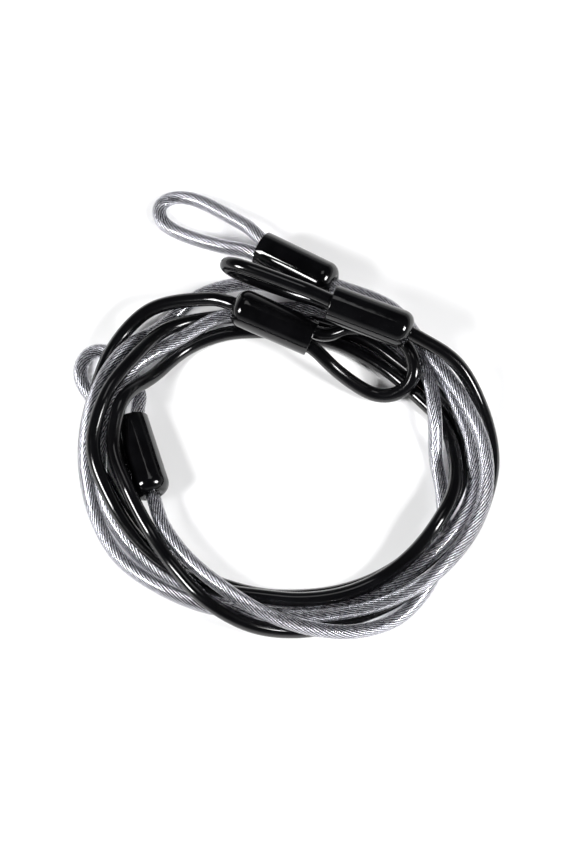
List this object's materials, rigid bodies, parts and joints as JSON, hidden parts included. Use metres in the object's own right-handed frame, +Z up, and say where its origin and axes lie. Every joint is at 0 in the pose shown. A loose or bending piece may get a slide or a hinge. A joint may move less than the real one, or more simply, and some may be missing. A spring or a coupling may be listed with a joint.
{
  "type": "looped-end security cable set",
  "caption": "Coiled pair of wire-rope security cables, one clear-coated and one black, each end doubled into a lock loop under a soft end cap.",
  "frame": {"origin": "middle of the footprint, on the surface that the coiled cables lie on", "axes": "+Z up and square to the coil, +Y along the longest extent, from the coil towards the clear cable's first loop"},
  "size_m": [0.235, 0.2641, 0.0519],
  "materials": {
    "clear_pvc": "glossy clear flexible jacket",
    "black_pvc": "glossy flexible jacket",
    "black_vinyl": "glossy dipped vinyl",
    "steel_rope": "bright galvanised wire",
    "ferrule_metal": "dull pressed metal"
  },
  "bodies": {
    "root": {"clear_jacket_coil": "clear_pvc", "clear_jacket_loop_1": "clear_pvc", "clear_jacket_loop_2": "clear_pvc", "clear_rope_outer_wires": "steel_rope", "clear_rope_inner_wires": "steel_rope", "clear_ferrule_1": "ferrule_metal", "clear_ferrule_2": "ferrule_metal", "clear_end_cap_1": "black_vinyl", "clear_end_cap_2": "black_vinyl", "black_jacket_coil": "black_pvc", "black_jacket_loop_1": "black_pvc", "black_jacket_loop_2": "black_pvc", "black_rope_outer_wires": "steel_rope", "black_rope_inner_wires": "steel_rope", "black_ferrule_1": "ferrule_metal", "black_ferrule_2": "ferrule_metal", "black_end_cap_1": "black_vinyl", "black_end_cap_2": "black_vinyl"}
  },
  "joints": []
}
